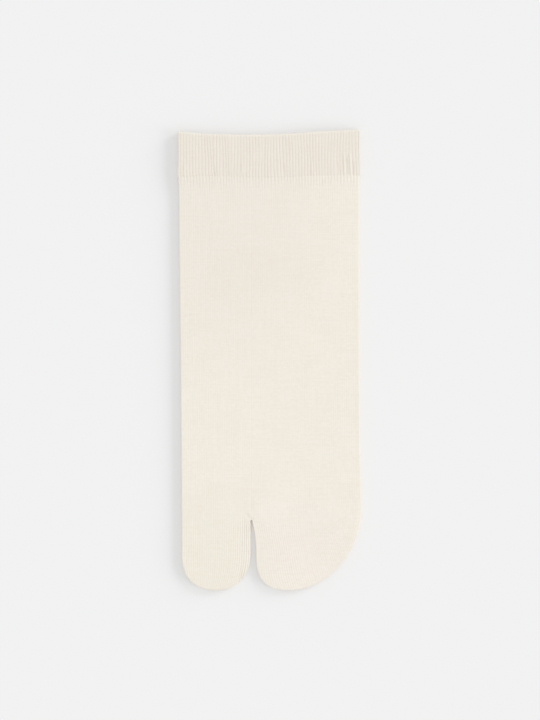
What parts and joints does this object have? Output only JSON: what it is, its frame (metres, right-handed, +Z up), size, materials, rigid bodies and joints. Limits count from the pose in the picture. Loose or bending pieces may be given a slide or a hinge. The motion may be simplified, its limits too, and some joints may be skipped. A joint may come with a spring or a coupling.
{
  "type": "tabi sock",
  "caption": "Ankle-height knitted tabi sock for the left foot, laid flat with its instep up: a straight tube with a ribbed cuff and a separate big toe.",
  "frame": {"origin": "middle of the outline, on the surface that the sock lies on", "axes": "+Z up out of the surface, +Y towards the cuff, -X on the big toe's side"},
  "size_m": [0.0922, 0.2308, 0.0036],
  "materials": {
    "cuff_rib": "ribbed cotton knit, matt, ecru, a shade deeper than the foot",
    "plain_knit": "fine plain cotton knit, matt, pressed flat, ecru"
  },
  "bodies": {
    "root": {"cuff": "cuff_rib", "foot": "plain_knit", "big_toe": "plain_knit", "small_toes": "plain_knit"}
  },
  "joints": []
}
